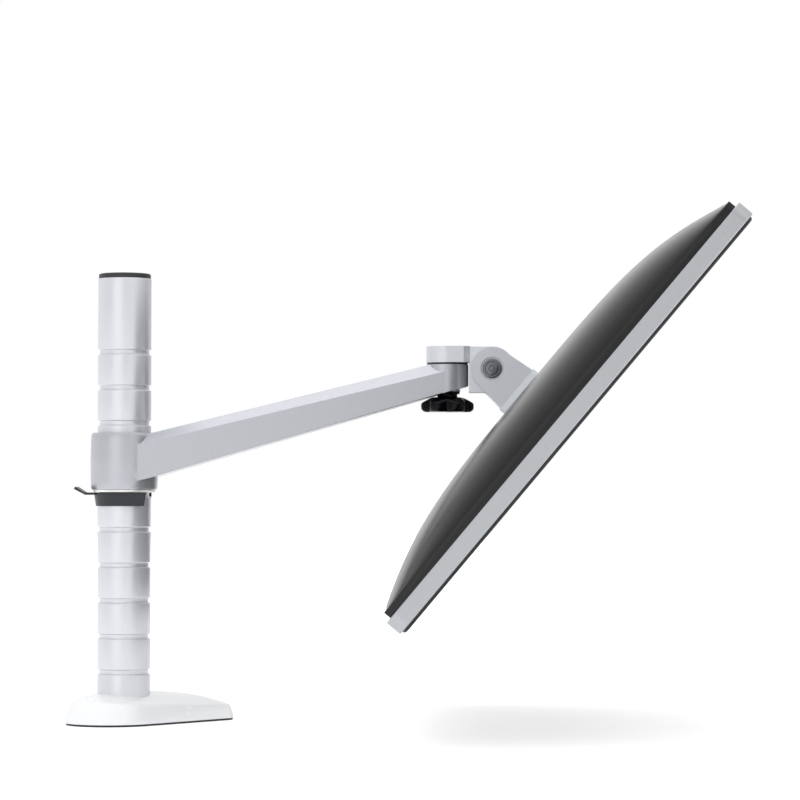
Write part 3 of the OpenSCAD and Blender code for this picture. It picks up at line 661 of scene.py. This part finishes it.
def on_outline(n):
    """A test for the band's outer corner at n, all the way round."""
    back = DISPLAY.inverted()

    def test(edge):
        for vert in edge.verts:
            p = back @ vert.co
            over_y = max(0, abs(p.y) - (HALF_W - CORNER))
            over_u = max(0, abs(p.z - MID_U) - (HALF_H - CORNER))
            if abs(math.hypot(over_y, over_u) - CORNER) > OUTLINE_SLACK or abs(p.x - n) > PLANE_SLACK:
                return False
        return True
    return test


def add_glass():
    low, high = local_box("front_glass")
    half_w = (high.y - low.y) / 2
    half_h = (high.z - low.z) / 2
    depth = high.x - low.x
    rings = [display_ring(low.x, half_w - 0.0001, half_h - 0.0001, CORNER - 2 * MM)]
    for inset, rise in ((0.0, 0.08), (0.25, 0.42), (0.8, 0.72), (1.5, 0.92), (2.2, 1.0)):
        rings.append(display_ring(low.x + depth * rise, half_w - inset * MM, half_h - inset * MM,
                                  CORNER - (2 + inset) * MM))
    glass = from_rings("screen_face", "front_glass", rings, 50)
    uv = glass.data.uv_layers.new(name="UVMap")
    back = DISPLAY.inverted()
    for loop in glass.data.loops:
        p = back @ glass.data.vertices[loop.vertex_index].co
        uv.data[loop.index].uv = (p.y, p.z - MID_U)


COVER_INSET, COVER_STEP, BULGE, COVER_T = 2.5, 6.2, 28.6, 2.5
COVER_EDGE = 1.2
# How full the back is across and up, how its shoulders round, and how far its crown sits off the middle
WIDE_POWER, WIDE_ROUND = 10.5, 0.74
HIGH_POWER, HIGH_ROUND, HIGH_SKEW = 3.67, 1.01, 0.045
COVER_COLUMNS, COVER_ROWS = 64, 48
RECESS_Y, RECESS_LOW, RECESS_TOP = 0.075, -0.105, 0.066


def cover_n(w, v):
    """How far the back lies along the screen's axis, across (w) and up (v), both from -1 to 1."""
    lean = v - HIGH_SKEW * (1 - v * v)
    across = max(0.0, 1 - abs(w) ** WIDE_POWER) ** WIDE_ROUND
    along = max(0.0, 1 - abs(lean) ** HIGH_POWER) ** HIGH_ROUND
    return BAND_LOW.x - (COVER_STEP + BULGE * across * along) * MM


def grid_lines(half, count, extra):
    """Cosine-spaced lines from -half to half, with the extra ones in place of their nearest."""
    lines = [-half * math.cos(math.pi * i / count) for i in range(count + 1)]
    for line in extra:
        nearest = min(range(1, count), key=lambda i: abs(lines[i] - line))
        lines[nearest] = line
    return sorted(lines)


def add_back_cover():
    """The bulged shell with its recess for the mount and a short wall down to the band."""
    half_w = HALF_W - COVER_INSET * MM
    half_h = HALF_H - COVER_INSET * MM
    corner = CORNER - COVER_INSET * MM
    ys = grid_lines(half_w, COVER_COLUMNS, (-RECESS_Y, RECESS_Y, -(half_w - corner), half_w - corner))
    us = grid_lines(half_h, COVER_ROWS, (RECESS_LOW - MID_U, RECESS_TOP - MID_U,
                                         -(half_h - corner), half_h - corner))
    shape = bmesh.new()
    grid = {}
    for j, u in enumerate(us):
        for i, y in enumerate(ys):
            over_y = max(0, abs(y) - (half_w - corner))
            over_u = max(0, abs(u) - (half_h - corner))
            far = math.hypot(over_y, over_u)
            if over_y > 0 and over_u > 0:
                shrink = max(over_y, over_u) / far
                y = math.copysign(half_w - corner + over_y * shrink, y)
                u = math.copysign(half_h - corner + over_u * shrink, u)
            n = cover_n(y / half_w, u / half_h)
            grid[i, j] = shape.verts.new(DISPLAY @ Vector((n, y, u + MID_U)))
    last_i, last_j = len(ys) - 1, len(us) - 1
    for j in range(last_j):
        for i in range(last_i):
            inside_y = abs(ys[i] + ys[i + 1]) / 2 < RECESS_Y
            inside_u = RECESS_LOW < (us[j] + us[j + 1]) / 2 + MID_U < RECESS_TOP
            if not (inside_y and inside_u):
                shape.faces.new((grid[i, j], grid[i, j + 1], grid[i + 1, j + 1], grid[i + 1, j]))
    rim = ([grid[i, 0] for i in range(last_i)] + [grid[last_i, j] for j in range(last_j)]
           + [grid[i, last_j] for i in range(last_i, 0, -1)] + [grid[0, j] for j in range(last_j, 0, -1)])
    back = DISPLAY.inverted()
    foot = []
    for vert in rim:
        p = back @ vert.co
        foot.append(shape.verts.new(DISPLAY @ Vector((BAND_LOW.x - 0.00002, p.y, p.z))))
    for k in range(len(rim)):
        m = (k + 1) % len(rim)
        shape.faces.new((rim[k], rim[m], foot[m], foot[k]))
    bmesh.ops.recalc_face_normals(shape, faces=shape.faces)
    mesh = bpy.data.meshes.new("back_shell")
    shape.to_mesh(mesh)
    shape.free()
    cover = finish_piece("back_shell", mesh, "back_cover", 40)
    shell = cover.modifiers.new("wall", "SOLIDIFY")
    shell.thickness = COVER_T * MM
    shell.offset = -1
    edges = cover.modifiers.new("edges", "BEVEL")
    edges.limit_method = "ANGLE"
    edges.angle_limit = math.radians(50)
    edges.width = COVER_EDGE * MM
    edges.segments = 5


add_glass()
add_back_cover()


# --- the tilt bolt and the hand knob ---

BOLT_R = 8.1
BOLT_SEAT = 16.3


def add_bolt():
    facing = Matrix.Translation(tilt_at) @ Matrix.Rotation(math.radians(90), 4, "X")
    path = [(0, -17.9), (5, -17.9), (5, BOLT_SEAT), (BOLT_R, BOLT_SEAT), (BOLT_R, 17.8), (BOLT_R - 0.5, 18.4),
            (BOLT_R - 1.9, 18.6), (BOLT_R - 2.1, 18.3), (BOLT_R - 2.5, 18.3), (BOLT_R - 2.7, 18.8), (3, 19.2),
            (2.8, 18.9), (2.4, 18.9), (2.2, 19.3), (0, 19.4)]
    radii = [0, 0.3, 0, 0.1, 0.3, 0.4, 0.2, 0.1, 0.1, 0.3, 0.2, 0.1, 0.1, 0.3, 0]
    lathe("bolt_dome", "tilt_bolt", rounded(path, radii), facing, 96)


KNOB_R = 22.8
KNOB_LOW = 263.5
KNOB_BORE_R = 6.5
KNOB_BORE_LOW = 1.5
KNOB_LOBES = 6
KNOB_SIDES = 168
# Heights above the knob's foot and the most that the grip reaches there
GRIP_RINGS = ((0.1, 17.5), (0.25, 18.8), (0.8, 20.0), (1.8, 21.4), (3.1, 22.6), (5, 22.75), (7, 22.6),
              (8.2, 21.4), (9.4, 19.2), (10.4, 17.4), (11.4, 15.6), (12.3, 13.8), (12.75, 12))
# Heights and radii of the round neck and flange over it, and then down the blind bore
NECK_RINGS = ((12.8, 8.7), (13.1, 8.5), (15.3, 8.5), (15.5, 10.3), (15.8, 10.55), (17.4, 10.55), (17.7, 10.3),
              (17.7, KNOB_BORE_R), (KNOB_BORE_LOW, KNOB_BORE_R))


def knob_reach(a, limit):
    """Radius of the lobed grip at angle a, no more than limit."""
    lobe = 0.5 + 0.5 * math.cos(KNOB_LOBES * a)
    reach = 17.6 + 5.2 * lobe ** 0.75
    soft = 0.8
    return -soft * math.log(math.exp(-reach / soft) + math.exp(-limit / soft))


def knob_point(centre, a, r, z):
    return centre + Vector((r * math.cos(a) * MM, r * math.sin(a) * MM, (KNOB_LOW + z) * MM))


def add_knob():
    centre = Vector((joints["knob_turn"]["pos_m"][0], 0, 0))
    angles = [2 * math.pi * i / KNOB_SIDES for i in range(KNOB_SIDES)]
    rings = []
    for z, limit in GRIP_RINGS:
        reach = [min(knob_reach(a, limit + 0.4), KNOB_R - 0.05) for a in angles]
        rings.append([knob_point(centre, a, r, z) for a, r in zip(angles, reach)])
    for z, r in NECK_RINGS:
        rings.append([knob_point(centre, a, r, z) for a in angles])
    from_rings("knob_lobes", "knob_grip", rings, 50)


# The ears' outer faces and the flange's lower edge, from the tilt axis
EAR_OUT = 18.5
FLANGE_LOW = 26.8
EAR_CLEAR = 0.1


def slope_flange(shape):
    """Draws the flange's lower edge in to the ears, so that its sides slope out to the mounting face."""
    back = DISPLAY.inverted()
    for vert in shape.verts:
        p = back @ vert.co
        if abs(p.x - FLANGE_LOW * MM) < PLANE_SLACK and abs(p.y) > EAR_OUT * MM:
            p.y = math.copysign((EAR_OUT + EAR_CLEAR) * MM, p.y)
            vert.co = DISPLAY @ p


add_bolt()
add_knob()

for node, width in {
        "thrust_washer": 0.2, "clip_body": 0.4, "clip_plate": 0.5,
        "arm_casting": 0.6, "head_casting": 1.0, "tilt_nut": 0.5,
        "knob_washer": 0.15, "swivel_washer": 0.15, "vesa_plate": 0.6, "vesa_screws": 0.6,
        "rear_tray": 0.5, "power_button": 0.4, "menu_button_1": 0.4, "menu_button_2": 0.4,
        "menu_button_3": 0.4, "menu_button_4": 0.4, "cover_screws": 0.4, "base_pad": 0.2,
        "video_socket_a": 0.2, "video_socket_b": 0.2, "usb_sockets": 0.2, "power_inlet": 0.2}.items():
    soften(node, width)
soften("tilt_bracket", 0.8, reshape=slope_flange)
soften("frame_band", 0.3,
       picks=((on_outline(BAND_LOW.x), 0.8), (on_outline(BAND_HIGH.x), 1.2)))
